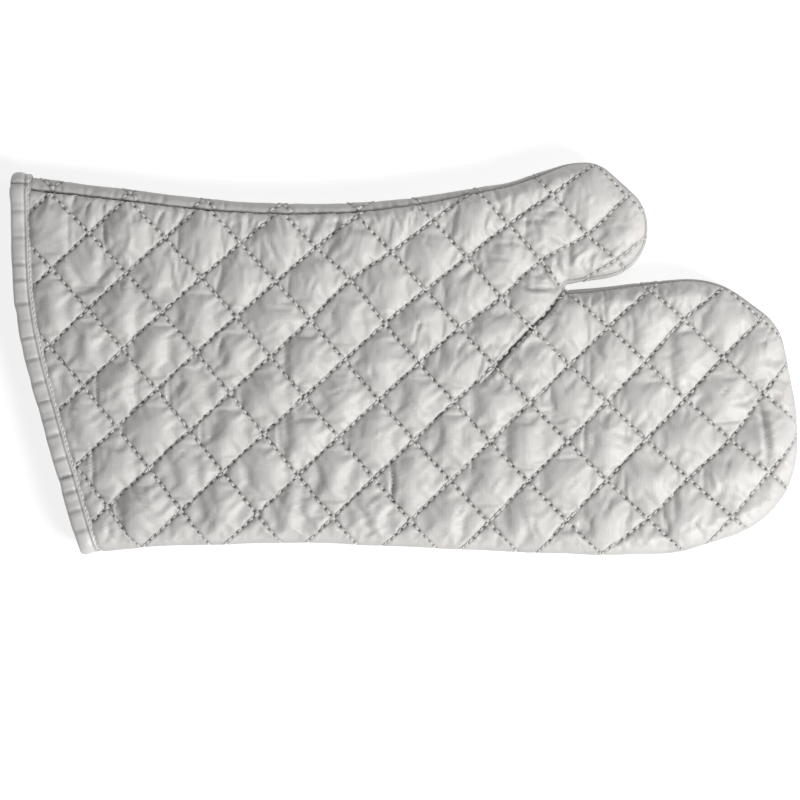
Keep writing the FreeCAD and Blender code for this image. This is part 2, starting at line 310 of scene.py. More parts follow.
class Panel:
    """The outside of the front (side 1) or back (side -1) panel before it is quilted."""

    def __init__(self, name, side):
        self.name = name
        self.side = side
        self.path, self.normals, self.roll = open_path()
        self.turn = np.maximum(-side * self.roll, 0.0)
        self.rim_in = RIM * (1 - np.cos(np.maximum(side * self.roll, 0.0)))
        self.border = self.path + self.normals * self.rim_in[:, None]
        self.lines = [run for line in quilt_lines() for run in self.clip_line(line)]

    def on_panel(self, points, margin=0.0):
        """True for points that lie on this panel's own sheet, a margin away from its border."""
        inset = edge_inset(points)
        index = nearest_index(self.path, points)
        enough = inset > self.rim_in[index] + margin
        return enough & (points[:, 0] > cuff_x(points[:, 1]) + CUFF_GAP + margin)

    def clip_line(self, line):
        """The runs of a line that lie on the panel: two where it crosses the slit."""
        keep = self.on_panel(line, 0.2)
        turns = np.flatnonzero(np.diff(np.concatenate([[0], keep.astype(int), [0]])))
        runs = zip(turns[::2], turns[1::2])
        return [line[start:end] for start, end in runs if end - start > SHORTEST_RUN]

    def lift(self, points):
        """Flat points put at the height of the panel's surface."""
        height = surface_height(points, edge_inset(points), self.side)
        return np.column_stack([points, height])

    def flat_points(self):
        """Border first, then quilting lines, then rings near the rim and the lattice grid."""
        end = np.linspace(self.border[-1], self.border[0], CUFF_POINTS)[1:-1]
        end[:, 0] = cuff_x(end[:, 1]) + CUFF_GAP
        border = np.vstack([self.border, end])
        taken = KeepApart(border)
        middles, sides = zip(*(line_points(line) for line in self.lines))
        on_lines = stack(taken.add(points, 0.9) for points in middles)
        sides = [points[self.on_panel(points, 0.6)] for points in sides]
        beside = stack(taken.add(points, 0.75) for points in sides)
        near_border = self.border + self.normals * 0.9
        near_border = taken.add(near_border[self.on_panel(near_border, 0.6)], 0.8)
        rings = taken.add(self.ring_points(), 1.2)
        grid = grid_points()
        grid = grid[self.on_panel(grid, 1.2)]
        grid = taken.add(grid[edge_inset(grid) > RINGS[-1] + 1.2], 1.5)
        return border, on_lines, np.vstack([beside, near_border, rings, grid])

    def ring_points(self):
        rows = []
        for ring in RINGS:
            step = self.path + self.normals * ring
            clear = edge_inset(step) > ring - 0.15
            rows.append(step[clear & self.on_panel(step, 0.9)])
        return np.vstack(rows)

    def build(self):
        """The panel's points, its faces, and which points stay put while it is blown up."""
        border, on_lines, others = self.flat_points()
        points, faces, origin = fill_border(border, [on_lines, others])
        held = len(border) + len(on_lines)
        pinned = np.array([any(source < held for source in sources) for sources in origin])
        pinned |= points[:, 0] < cuff_x(points[:, 1]) + BINDING - TAPE_MARGIN
        if self.side < 0:
            faces = [face[::-1] for face in faces]
        return self.add_strip(self.lift(points), faces, pinned)

    def add_strip(self, verts, faces, pinned):
        """Where the seam is rolled to the other side, the panel runs on round the rim."""
        rows = STRIP_ROWS
        use = np.flatnonzero(self.turn > LEAST_ROLL)
        blocks = []
        grid = []
        for row in range(rows + 1):
            grid.append(np.arange(len(use)) + len(verts) + row * len(use))
            blocks.append(self.round_rim(use, self.turn[use] * row / rows))
        for row in range(rows):
            for index in range(len(use) - 1):
                if use[index + 1] - use[index] == 1:
                    a, b = grid[row][index], grid[row][index + 1]
                    c, d = grid[row + 1][index + 1], grid[row + 1][index]
                    faces.append([d, c, b, a] if self.side > 0 else [a, b, c, d])
        strip = np.vstack(blocks)
        fixed = np.arange(len(strip)) >= rows * len(use)
        runs = self.strip_lines()
        if runs:
            away, _, _ = LineFinder(runs).look(strip)
            fixed |= away < 0.8
        verts = np.vstack([verts, strip])
        pinned = np.concatenate([pinned, fixed])
        return merge_close(verts, faces, pinned, border=self.path, free=self.turn)

    def round_rim(self, place, angle):
        """Points on the rim past the middle of its edge, by place along the outline."""
        steps = np.arange(len(self.path))
        flat = np.column_stack([np.interp(place, steps, self.path[:, axis]) for axis in (0, 1)])
        normal = np.column_stack([np.interp(place, steps, self.normals[:, axis]) for axis in (0, 1)])
        return on_rim(flat, normal, angle, -self.side)

    def strip_lines(self):
        """The quilting lines where they run on, still slanting, over the rim."""
        found = []
        for line in self.lines:
            for end, before in ((line[0], line[40]), (line[-1], line[-41])):
                index = int(nearest_index(self.path, end[None])[0])
                far = np.linalg.norm(self.path[index] - end) > 6.0
                if far or self.turn[index] < math.radians(20.0):
                    continue
                normal = self.normals[index]
                ahead = np.array([normal[1], -normal[0]])
                run = end - before
                slant = (run @ ahead) / max(0.3, -(run @ normal))
                angles = np.linspace(0.12, 0.95, 14) * self.turn[index]
                arc = half_height(end[0]) * angles
                place = index - np.clip(slant, -1.3, 1.3) * arc / POINT_STEP
                found.append(self.round_rim(place, angles))
        return found

    def sewn_lines(self):
        """The quilting lines in space, with the short ends that run on over the rim."""
        return [self.lift(line) for line in self.lines] + self.strip_lines()


class KeepApart:
    """Collects flat points that stay a distance away from those already taken."""

    def __init__(self, points):
        self.points = [tuple(point) for point in points]

    def add(self, points, distance):
        tree = tree_of(self.points)
        kept = [p for p in points if tree.find((p[0], p[1], 0.0))[2] > distance]
        self.points += [tuple(point) for point in kept]
        return np.array(kept)


def open_path():
    """The outline from the cuff's little-finger side round to its thumb side."""
    keep = LOOP[:, 0] > cuff_x(LOOP[:, 1]) + CUFF_GAP
    first = int(np.flatnonzero(keep & ~np.roll(keep, 1))[0])
    order = (np.arange(len(LOOP)) + first) % len(LOOP)
    path = LOOP[order][keep[order]]
    path = np.vstack([on_cuff(path[0]), path, on_cuff(path[-1])])
    ahead = unit_rows(np.gradient(path, axis=0))
    normals = turned(ahead)
    places = np.array(SEAM_ROLL)
    length = lengths(path)
    marks = length[nearest_index(path, places[:, :2])]
    roll = np.radians(np.interp(length, marks, places[:, 2]))
    return path, normals, roll


def on_cuff(point):
    return np.array([float(cuff_x(point[1])) + CUFF_GAP, point[1]])


def stack(parts):
    return np.vstack([points for points in parts if len(points)])


def quilt_lines():
    fine = np.arange(-8.0, 19.0, 0.01)
    rising = [diagonal(np.full_like(fine, u), fine) for u in U_LINES]
    falling = [diagonal(fine, np.full_like(fine, v)) for v in V_LINES]
    return rising + falling


def grid_points():
    steps = np.arange(-8 * CELL_STEPS, 18 * CELL_STEPS) / CELL_STEPS
    u, v = np.meshgrid(steps, steps)
    points = diagonal(u.ravel(), v.ravel())
    ok = (np.abs(points[:, 0]) < 225) & (np.abs(points[:, 1]) < 115)
    across = (u + v + 1.0).ravel()
    along = (u - v).ravel()
    ok &= (across > -1) & (across < 23) & (along > -3.5) & (along < 11.5)
    return points[ok]


def line_points(line):
    """Mesh points on a quilting line, two to a stitch, and on each side of it."""
    marks = resample(line, stitch_length(line) / 2)
    ahead = unit_rows(np.gradient(marks, axis=0))
    across = turned(ahead) * BESIDE
    return marks, np.vstack([marks + across, marks - across])


def stitch_length(line):
    """The stitch length that divides a line evenly."""
    length = np.linalg.norm(np.diff(line, axis=0), axis=1).sum()
    return length / max(1, round(length / STITCH))


def merge_close(verts, faces, pinned, border, free):
    """Join the strip's first row to the sheet's border, and close up its ends."""
    tree = tree_of(verts)
    target = np.arange(len(verts))
    for index, point in enumerate(verts):
        close = [found for _, found, _ in tree.find_range(point, MERGE_WITHIN)]
        target[index] = target[min(close)]
    inner = nearest_index(border, verts[:, :2])
    used, new = np.unique(target, return_inverse=True)
    joined = np.zeros(len(used), bool)
    np.logical_or.at(joined, new, pinned)
    counts = np.bincount(new, minlength=len(used))
    for old, group in enumerate(new):
        if counts[group] > 1 and free[inner[old]] > LEAST_ROLL:
            joined[group] = False
    rings = [list(dict.fromkeys(int(new[index]) for index in face)) for face in faces]
    return verts[used], [ring for ring in rings if len(ring) > 2], joined


# ---- meshes

def new_mesh(name, verts, faces, scale=MM):
    mesh = bpy.data.meshes.new(name)
    mesh.from_pydata([tuple(point) for point in np.asarray(verts) * scale], [], faces)
    mesh.update()
    obj = bpy.data.objects.new(name, mesh)
    bpy.context.scene.collection.objects.link(obj)
    return obj


def mesh_points(mesh):
    flat = np.empty(len(mesh.vertices) * 3)
    mesh.vertices.foreach_get("co", flat)
    return flat.reshape(-1, 3)


def apply_modifiers(obj):
    graph = bpy.context.evaluated_depsgraph_get()
    mesh = bpy.data.meshes.new_from_object(obj.evaluated_get(graph))
    obj.modifiers.clear()
    old = obj.data
    obj.data = mesh
    bpy.data.meshes.remove(old)
    return mesh


def subdivide(obj):
    refine = obj.modifiers.new("refine", "SUBSURF")
    refine.levels = 1
    apply_modifiers(obj)


def dress(piece, material, nodes):
    """The piece's material, and the CAD nodes it stands for, which are hidden."""
    piece.data.materials.append(material)
    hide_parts(*nodes)


def nodes_called(*starts):
    return [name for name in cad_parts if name.startswith(starts)]


def cell_of(points):
    """The number of the diamond that each point is in, from the nearest middle of one."""
    u, v = np.meshgrid(np.arange(-8, 18) + 0.5, np.arange(-8, 18) + 0.5)
    return nearest_index(diagonal(u.ravel(), v.ravel()), points[:, :2])


def scatter(number, seed):
    """A steady pseudo-random number from 0 to 1 for each whole number."""
    mixed = np.sin(number * 12.9898 + seed * 78.233) * 43758.5453
    return mixed - np.floor(mixed)


def smooth_step(value, start, end):
    share = np.clip((value - start) / (end - start), 0, 1)
    return share * share * (3 - 2 * share)


def puff_up(name, verts, faces, pinned):
    """Quilt a panel: its lines stay, and the cloth between them is blown up and wrinkles."""
    obj = new_mesh(name, verts, faces, MM * SIM_SCALE)
    pins = obj.vertex_groups.new(name="pins")
    pins.add(np.flatnonzero(pinned).tolist(), 1.0, "REPLACE")
    slack = obj.vertex_groups.new(name="slack")
    growth = (0.55 + 0.45 * scatter(cell_of(verts), 1.0))
    growth = growth * smooth_step(edge_inset(verts[:, :2]), 1.0, 9.0)
    for index, amount in enumerate(growth):
        slack.add([index], 1 - amount, "REPLACE")
    set_up_cloth(obj.modifiers.new("cloth", "CLOTH"))
    for step in range(1, SIM_FRAMES + 1):
        bpy.context.scene.frame_set(step)
    moved = mesh_points(apply_modifiers(obj)) / (MM * SIM_SCALE)
    bpy.data.objects.remove(obj)
    bpy.context.scene.frame_set(1)
    shift = moved - verts
    length = np.linalg.norm(shift, axis=1)
    return verts + shift * np.minimum(1.0, PUFF_CAP / np.maximum(length, 1e-9))[:, None]


# Light cloth under pressure. It grows, where the slack group lets it, by up to 12%.
CLOTH = {
    "quality": 5,
    "mass": 0.25,
    "tension_stiffness": 25.0,
    "compression_stiffness": 25.0,
    "shear_stiffness": 8.0,
    "bending_stiffness": 0.15,
    "use_pressure": True,
    "uniform_pressure_force": 7.0,
    "shrink_min": -0.12,
    "shrink_max": 0.0,
    "vertex_group_shrink": "slack",
    "vertex_group_mass": "pins",
}


def set_up_cloth(cloth):
    for name, value in CLOTH.items():
        setattr(cloth.settings, name, value)
    cloth.settings.effector_weights.gravity = 0.0
    cloth.collision_settings.use_collision = False
    cloth.point_cache.frame_start = 1
    cloth.point_cache.frame_end = SIM_FRAMES


def rest_on_floor(points):
    """Cloth that would reach below the floor lies flat on it."""
    z = points[:, 2]
    flat = 0.5 * (z + np.sqrt(z * z + 0.6))
    points[:, 2] = np.where(z < 6.0, flat, z)


def quilted_panel(panel):
    verts, faces, pinned = panel.build()
    shaped = puff_up(panel.name, verts, faces, pinned)
    if panel.side < 0:
        rest_on_floor(shaped)
    obj = new_mesh(panel.name, shaped, faces)
    subdivide(obj)
    add_detail(obj, panel)
    return obj


# ---- sewn detail

class LineFinder:
    """Finds the nearest line for any point, and how many stitches along it that is."""

    def __init__(self, polylines):
        runs = [resample(line, 0.35) for line in polylines]
        stitches = [lengths(line)[-1] / stitch_length(line) for line in polylines]
        self.stitches = np.concatenate([np.linspace(0, count, len(run))
                                        for count, run in zip(stitches, runs)])
        self.number = np.concatenate([np.full(len(run), n) for n, run in enumerate(runs)])
        self.tree = tree_of(np.vstack(runs))

    def look(self, points):
        found = [self.tree.find(point) for point in points]
        away = np.array([item[2] for item in found])
        index = np.array([item[1] for item in found])
        return away, self.stitches[index], self.number[index]


def resample(line, step):
    """Points spread evenly along a line, near the asked step apart."""
    line = np.asarray(line, float)
    length = lengths(line)
    marks = np.linspace(0.0, length[-1], max(2, int(round(length[-1] / step)) + 1))
    return np.column_stack([np.interp(marks, length, line[:, axis]) for axis in range(line.shape[1])])


def wavy(value, seed):
    """A smooth random wave from -1 to 1 along one direction."""
    low = np.floor(value)
    part = smooth_step(value - low, 0, 1)
    ends = []
    for step in (0, 1):
        mixed = np.sin((low + step) * 127.1 + seed * 311.7) * 43758.5453
        ends.append(2 * (mixed - np.floor(mixed)) - 1)
    return ends[0] * (1 - part) + ends[1] * part


def add_detail(obj, panel):
    """Press the sewing, wrinkles and creases into a panel's mesh, and keep the painted shade in them."""
    mesh = obj.data
    points = mesh_points(mesh) / MM
    normals = np.empty(len(mesh.vertices) * 3)
    mesh.vertices.foreach_get("normal", normals)
    push, shade = relief(points, panel)
    points += normals.reshape(-1, 3) * push[:, None]
    for stroke, depth, width in creases(panel) if panel.side > 0 else strip_creases(panel):
        press_crease(points, shade, stroke, depth, width)
    if panel.side < 0:
        rest_on_floor(points)
    mesh.vertices.foreach_set("co", (points * MM).ravel())
    store_shade(mesh, shade)
    mesh.update()


# Depth and width of what sewing presses into the cloth.
STITCH_GROOVE = (0.40, 1.1)
NEEDLE_HOLE = (1.0, 0.8)
SEAM_GROOVE = (1.2, 1.1)
UNDER_TAPE = 0.9          # how far the tape holds the cloth down
CLEAR_OF_SEWING = 4.0     # wrinkles fade out within about this distance of a stitch line


def relief(points, panel):
    """How far each point is pushed out of the cloth or into it, and how much painted shade darkens it."""
    away, stitches, number = LineFinder(panel.sewn_lines()).look(points)
    seam, _, _ = LineFinder([seam_line(panel)]).look(points)
    inset = edge_inset(points[:, :2])
    hole = (0.5 + 0.5 * np.cos(2 * math.pi * stitches)) ** 5
    push = -STITCH_GROOVE[0] * bell(away, STITCH_GROOVE[1])
    push -= NEEDLE_HOLE[0] * hole * bell(away, NEEDLE_HOLE[1])
    pucker = wavy(stitches * 1.6, number + 1.0) + 0.7 * wavy(stitches * 4.0, number + 7.0)
    fade = np.exp(-away / 3.0) * (1 - bell(away, 1.2))
    push += 0.5 * pucker * fade * (0.4 + 0.6 * smooth_step(inset, 0.0, 5.0))
    clear = (1 - bell(away, CLEAR_OF_SEWING)) * (1 - bell(seam, CLEAR_OF_SEWING))
    push += wrinkles(points) * clear * (0.15 + 0.85 * smooth_step(inset, 1.0, 8.0))
    push -= SEAM_GROOVE[0] * bell(seam, SEAM_GROOVE[1])
    from_cuff = points[:, 0] - cuff_x(points[:, 1])
    taped = 1 - smooth_step(from_cuff, BINDING - 0.5, BINDING + 2.5)
    push = push * (1 - taped) - UNDER_TAPE * taped
    # Painted shade: darker along the stitch lines and in the needle holes, along the joining seam, and
    # towards the outline.
    shade = 1 - 0.15 * bell(away, 1.4) - 0.52 * hole * bell(away, NEEDLE_HOLE[1])
    shade *= 1 - 0.60 * bell(seam, 0.7)
    shade *= 0.80 + 0.20 * smooth_step(inset, -0.5, 4.0)
    return push, shade


def store_shade(mesh, shade):
    """Painted shade in the stitching, needle holes, seams and creases and along the edges, for the material
    to read.
    """
    layer = mesh.attributes.new("shade", "FLOAT", "POINT")
    layer.data.foreach_set("value", np.clip(shade, 0.0, 1.0).astype(np.float32))


def wrinkles(points):
    """Shallow wrinkles, running a different way in each diamond."""
    cell = cell_of(points)
    angle = math.radians(62.0) + 1.25 * (scatter(cell, 2.0) - 0.35)
    amount = 0.25 + 0.75 * scatter(cell, 3.0)
    along = points[:, 0] * np.cos(angle) + points[:, 1] * np.sin(angle)
    across = -points[:, 0] * np.sin(angle) + points[:, 1] * np.cos(angle)
    result = np.empty(len(points))
    for index in range(len(points)):
        where = Vector((across[index] / 8.5, along[index] / 24.0, cell[index] * 3.7))
        soft = noise.noise(where)
        sharp = 1 - abs(noise.noise(where * 1.7 + Vector((9.0, 4.0, 0.0)))) * 3.2
        result[index] = 0.24 * soft + 0.44 * max(0.0, sharp)
    return result * amount


def press_crease(points, shade, stroke, depth, width):
    """A furrow along a stroke, with a slight lip on each side and painted shade in it, fading at its ends."""
    stroke = resample(np.array(stroke, float), 0.5)
    low, high = stroke.min(0) - 6 * width, stroke.max(0) + 6 * width
    flat = points[:, :2]
    near = np.flatnonzero(((flat > low) & (flat < high)).all(1) & (points[:, 2] > 12.0))
    if not len(near):
        return
    gap = np.linalg.norm(flat[near][:, None, :] - stroke[None], axis=2)
    place = gap.argmin(1) / max(1, len(stroke) - 1)
    away = gap.min(1) / width
    ends = np.sin(math.pi * np.clip(0.08 + 0.84 * place, 0, 1)) ** 0.6
    furrow = 0.38 * bell(away - 2.1, 1.0) - bell(away, 1.0)
    points[near, 2] += depth * furrow * ends
    # Painted shade along the furrow, deeper furrows darker.
    shade[near] *= 1 - min(0.6, max(0.0, 0.4 * depth - 0.15)) * np.exp(-(away * 1.4) ** 2) * ends


# Folds in the palm cloth: points along each, then its depth and width.
FOLDS = [
    ([(87.3, 37.5), (83.7, 32.1), (78.2, 24.4), (70.9, 18.4), (68.2, 15.7), (60.0, 6.5),
      (52.7, -1.7), (49.0, -7.1), (41.8, -14.4)], 2.2, 1.0),
    ([(74.6, 51.7), (78.5, 45.0), (83.5, 39.5)], 1.6, 1.2),
    ([(62.9, 40.3), (68.6, 37.5), (76.2, 37.5), (84.5, 37.8)], 1.3, 1.1),
    ([(83.5, 55.5), (82.5, 47.0)], 0.9, 1.5),
    ([(90.5, 62.0), (89.9, 45.5)], 0.9, 1.5),
    ([(109.6, 40.5), (108.9, 30.0), (109.8, 20.5)], 0.9, 0.8),
    ([(112.5, 38.5), (111.6, 31.0)], 0.7, 0.8),
    ([(139.6, 39.7), (139.0, 32.0)], 0.8, 0.9),
    ([(147.3, 40.8), (147.0, 34.4)], 0.7, 0.9),
    ([(61.5, 73.6), (72.0, 74.6), (81.7, 73.2)], 0.9, 1.2),
    ([(74.0, 79.1), (83.0, 79.5), (91.0, 76.4)], 0.9, 1.2),
    ([(75.0, 82.4), (85.0, 82.4)], 0.7, 1.1),
    ([(72.4, 64.9), (79.0, 64.2), (85.5, 61.2)], 0.9, 1.2),
    ([(50.0, 61.6), (58.0, 62.4), (68.0, 60.9)], 0.9, 1.1),
    ([(45.0, 54.5), (56.5, 53.4)], 0.8, 1.1),
    ([(-162.9, 73.0), (-162.0, 60.0)], 1.0, 1.0),
    ([(-167.3, -7.9), (-166.4, -25.2)], 1.1, 1.0),
    ([(-127.9, -11.8), (-127.0, -25.2)], 1.0, 1.0),
    ([(-169.6, -46.8), (-168.6, -69.5)], 1.1, 1.1),
    ([(-156.3, -74.6), (-155.8, -86.5)], 0.9, 1.0),
    ([(-110.0, -32.5), (-109.2, -47.7)], 1.0, 1.0),
    ([(-67.9, -35.3), (-67.2, -47.7)], 1.0, 1.0),
    ([(-6.6, -56.6), (-5.8, -68.0), (-6.6, -78.3)], 1.5, 1.1),
    ([(98.4, -35.3), (98.0, -50.4)], 1.4, 1.1),
    ([(37.6, -54.4), (37.1, -63.5)], 0.9, 0.9),
    ([(194.0, -25.0), (196.8, -40.0), (198.6, -57.0)], 1.7, 1.7),
]


def creases(panel):
    """The folds, and short puckers that the seam draws into the cloth beside it."""
    strokes = FOLDS + small_creases()
    draw = random.Random(11)
    length = lengths(panel.border)
    mark = 4.0
    while mark < length[-1] - 4.0:
        index = int(np.searchsorted(length, mark))
        at, inwards = panel.border[index], panel.normals[index]
        rolled = abs(math.degrees(panel.roll[index])) > 28.0
        reach = draw.uniform(5.0, 13.0) if rolled else draw.uniform(3.0, 7.0)
        slant = draw.uniform(-0.5, 0.5)
        direction = inwards + slant * turned(inwards)
        start = at + inwards * (0.4 if rolled else 2.5)
        depth = draw.uniform(0.35, 0.95) if rolled else draw.uniform(0.2, 0.5)
        strokes.append(([start, start + direction * reach], depth, draw.uniform(0.7, 1.2)))
        mark += draw.uniform(5.0, 13.0) if rolled else draw.uniform(9.0, 22.0)
    return strokes


def strip_creases(panel):
    """Creases across the strip of back panel that shows beside the rolled seam."""
    draw = random.Random(5)
    strokes = []
    mark = len(panel.path) - 2
    while math.degrees(panel.roll[mark]) > 30.0:
        at, inwards = panel.path[mark], panel.normals[mark]
        lean = draw.uniform(-0.35, 0.35) * turned(inwards)
        width = RIM * (1 - math.cos(panel.roll[mark]))
        strokes.append(([at, at + (inwards + lean) * width], draw.uniform(0.3, 0.8), draw.uniform(0.7, 1.1)))
        mark -= draw.randint(2, 7)
    return strokes


def small_creases():
    """Two or three thin creases in each diamond, mostly across the mitt."""
    draw = random.Random(29)
    strokes = []
    for u in range(-8, 18):
        for v in range(-8, 18):
            middle = diagonal(np.array([u + 0.5]), np.array([v + 0.5]))[0]
            for _ in range(draw.randint(1, 3)):
                angle = math.radians(draw.gauss(80.0, 38.0))
                bend = draw.uniform(-0.5, 0.5)
                start = middle + [draw.uniform(-9.0, 9.0), draw.uniform(-9.0, 9.0)]
                length = draw.uniform(5.0, 14.0)
                half = start + length / 2 * np.array([math.cos(angle), math.sin(angle)])
                end = half + length / 2 * np.array([math.cos(angle + bend), math.sin(angle + bend)])
                depth = draw.choice((-0.5, 0.5, 0.7)) * draw.uniform(0.6, 1.2)
                on_mitt = min(start[0], end[0]) > cuff_x(start[1]) + 13.0
                if on_mitt and abs(middle[0]) < 210 and abs(middle[1]) < 105:
                    strokes.append(([start, half, end], depth, draw.uniform(0.8, 1.4)))
    return strokes


def surface_finder(obj):
    return BVHTree.FromObject(obj, bpy.context.evaluated_depsgraph_get())


# One stitch: share of the way to the next needle hole, height over the cloth beyond the
# thread's own lift, and thickness.
STITCH_SHAPE = [(0.08, None, 0.65), (0.22, 0.0, 1.0), (0.5, 0.15, 1.15), (0.78, 0.0, 1.0), (0.92, None, 0.65)]
STITCH_END = -0.30        # height of a stitch where it goes into its hole


def stitch_run(line, finder, step, radius, shapes, lift=0.12):
    """One rounded stitch between each pair of needle holes along a line in space."""
    for start, end in pairwise(resample(line, step)):
        places = []
        for share, extra, thick in STITCH_SHAPE:
            height = STITCH_END if extra is None else lift + extra
            point = start + (end - start) * share
            found = finder.find_nearest(Vector(point * MM))
            normal = np.array(found[1])
            at = np.array(found[0]) / MM + normal * (height * radius / STITCH_RADIUS)
            places.append((at, normal, radius * thick))
        shapes.append(places)


def tube_faces(rings, sides, base=0):
    """Faces of a closed tube: its wall between neighbouring rings, then its two ends."""
    faces = []
    last = base + (rings - 1) * sides
    for start in range(base, last, sides):
        for side in range(sides):
            a, b = start + side, start + (side + 1) % sides
            faces.append((a, b, b + sides, a + sides))
    return faces + [tuple(range(base, base + sides))[::-1], tuple(range(last, last + sides))]


def tube_mesh(name, shapes, sides=6):
    """Closed tubes, each through its own points with its own radii."""
    verts, faces = [], []
    for places in shapes:
        ahead = places[-1][0] - places[0][0]
        ahead = ahead / max(np.linalg.norm(ahead), 1e-9)
        faces += tube_faces(len(places), sides, len(verts))
        for at, normal, radius in places:
            across = np.cross(ahead, normal)
            across /= max(np.linalg.norm(across), 1e-9)
            up = np.cross(across, ahead)
            for side in range(sides):
                angle = 2 * math.pi * side / sides
                verts.append(at + radius * (math.cos(angle) * across + math.sin(angle) * up))
    obj = new_mesh(name, verts, faces)
    store_shade(obj.data, np.ones(len(verts)))
    obj.data.shade_smooth()
    return obj


# ---- thumb and palm parts

def on_thumb(points):
    """True past the slit, on the thumb's side of the quilting line that rises from the crotch."""
    fine = np.arange(5.0, 9.5, 0.02)
    line = diagonal(fine, np.full_like(fine, 6.0))
    line = line[line[:, 1] > CROTCH[1]]
    line = line[np.argsort(line[:, 1])]
    x_on_line = np.interp(points[:, 1], line[:, 1], line[:, 0])
    past_slit = points[:, 1] > CROTCH[1] + SLIT_SLOPE * (points[:, 0] - CROTCH[0])
    return past_slit & (points[:, 0] > x_on_line) & (points[:, 1] > CROTCH[1])


def split_off_thumb(obj):
    """The thumb's faces become a piece of their own."""
    mesh = obj.data
    points = mesh_points(mesh) / MM
    faces = [list(face.vertices) for face in mesh.polygons]
    chosen = on_thumb(np.array([points[face].mean(0) for face in faces]))
    name = obj.name
    obj.name = name + "_whole"
    shade = np.ones(len(points), np.float32)
    if "shade" in mesh.attributes:
        mesh.attributes["shade"].data.foreach_get("value", shade)
    parts = []
    for part_name, wanted in ((name, ~chosen), (name + "_thumb", chosen)):
        own = [face for face, ok in zip(faces, wanted) if ok]
        used = sorted({index for face in own for index in face})
        new = {old: number for number, old in enumerate(used)}
        part = new_mesh(part_name, points[used], [[new[i] for i in face] for face in own])
        store_shade(part.data, shade[used])
        part.data.shade_smooth()
        parts.append(part)
    bpy.data.objects.remove(obj)
    return parts


def bend_with_hand(palm, thumb):
    """The palm piece's and the thumb piece's placement baked into their meshes."""
    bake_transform(palm)
    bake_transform(thumb)


def finish_pair(parts, material, nodes):
    """Material and the CAD nodes that a palm piece and its thumb stand for, with their placement baked into
    their meshes.
    """
    palm, thumb = parts
    dress(palm, material, [n for n in nodes if not n.endswith("_thumb")])
    dress(thumb, material, [n for n in nodes if n.endswith("_thumb")])
    bend_with_hand(palm, thumb)


def split_shapes(shapes):
    middles = np.array([places[len(places) // 2][0] for places in shapes])
    chosen = on_thumb(middles)
    return ([s for s, thumb in zip(shapes, chosen) if not thumb],
            [s for s, thumb in zip(shapes, chosen) if thumb])


def sew(name, shapes, material, nodes):
    palm, thumb = split_shapes(shapes)
    parts = (tube_mesh(name, palm), tube_mesh(name + "_thumb", thumb))
    finish_pair(parts, material, nodes)


# ---- cuff binding

# Half section of the folded tape: distance from the cuff edge, height over the panel.
TAPE = [
    (11.6, -0.9), (11.3, 0.45), (10.8, 0.8), (10.1, 0.35), (9.5, 0.85), (8.8, 0.95), (8.2, 0.4),
    (7.6, 1.25), (5.6, 1.65), (3.4, 1.7), (1.8, 1.4), (0.7, 0.8), (0.1, -0.3), (0.0, -2.2),
    (0.2, -3.8), (1.0, -4.8), (3.0, -5.2), (6.0, -5.3), (8.6, -4.9), (9.4, -4.5), (9.9, -4.9),
    (10.3, -4.6), (10.6, -3.9),
]
# Painted shade on the tape's section, by distance from the cuff edge: its tucked-under inner edge, its
# grooves and its rounded outer edge.
TAPE_SHADE = {11.6: 0.5, 11.3: 0.35, 10.1: 0.15, 8.2: 0.45, 0.7: 0.12, 0.1: 0.3, 0.0: 0.35}

# Where the tape of the palm panel is creased across, by Y, with each crease's depth.
TAPE_CREASES = [
    (80.5, 0.5), (66.0, 0.4), (51.2, 0.9), (42.5, 0.8), (29.3, 0.9), (20.0, 0.4), (10.2, 0.8),
    (-1.8, 1.0), (-14.4, 0.7), (-24.8, 1.0), (-34.1, 0.7), (-43.4, 0.9), (-56.0, 0.7),
    (-65.8, 1.4), (-74.0, 0.9), (-84.4, 0.8), (-95.0, 0.5),
]


def binding_path(panel):
    """Points along the cuff edge of a panel, from the little-finger side to the thumb side."""
    low, high = panel.border[0], panel.border[-1]
    y = np.arange(low[1], high[1], TAPE_STEP)
    flat = np.column_stack([cuff_x(y), y])
    inset = np.maximum(edge_inset(flat), 0.0)
    path = np.column_stack([flat, surface_height(flat, inset, panel.side)])
    turn = -panel.side * panel.roll
    ends = []
    for index in (0, -1):
        angles = np.radians(np.arange(0.0, max(0.0, math.degrees(turn[index])) + 4.0, 6.0))
        at = panel.path[index] + panel.normals[index] * (RIM * (1 - np.cos(angles)))[:, None]
        at[:, 0] = cuff_x(at[:, 1])
        rise = half_height(at[:, 0]) * np.sin(angles)
        ends.append(np.column_stack([at, seam_height(at[:, 0]) - panel.side * rise]))
    return resample(np.vstack([ends[0][::-1], path, ends[1]]), TAPE_STEP)


def binding_frames(path, side):
    """For each point of the cuff edge: the way in from the edge, and the way out of the cloth."""
    y = path[:, 1]
    slope = (cuff_x(y + 0.01) - cuff_x(y - 0.01)) / 0.02
    inwards = unit_rows(np.column_stack([np.ones(len(path)), -slope, np.zeros(len(path))]))
    outwards = unit_rows(np.cross(inwards, np.gradient(path, axis=0)))
    return inwards, outwards * (1 if outwards[len(path) // 2][2] * side > 0 else -1)


def binding(panel, which, material):
    """The tape folded over a panel's raw edge, drawn into small puckers by its stitching."""
    path = binding_path(panel)
    inwards, outwards = binding_frames(path, panel.side)
    verts, shade = tape_points(path, inwards, outwards, 3.0 if panel.side > 0 else 19.0)
    faces = tube_faces(len(path), len(TAPE))
    if panel.side > 0:
        faces = [face[::-1] for face in faces]
    else:
        rest_on_floor(verts)
    obj = new_mesh(which + "_cuff_tape", verts, faces)
    store_shade(obj.data, shade)
    subdivide(obj)
    obj.data.shade_smooth()
    dress(obj, material, [which + "_cuff_binding"])
    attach(obj, "hand")
    return obj, path + inwards * BINDING_STITCH


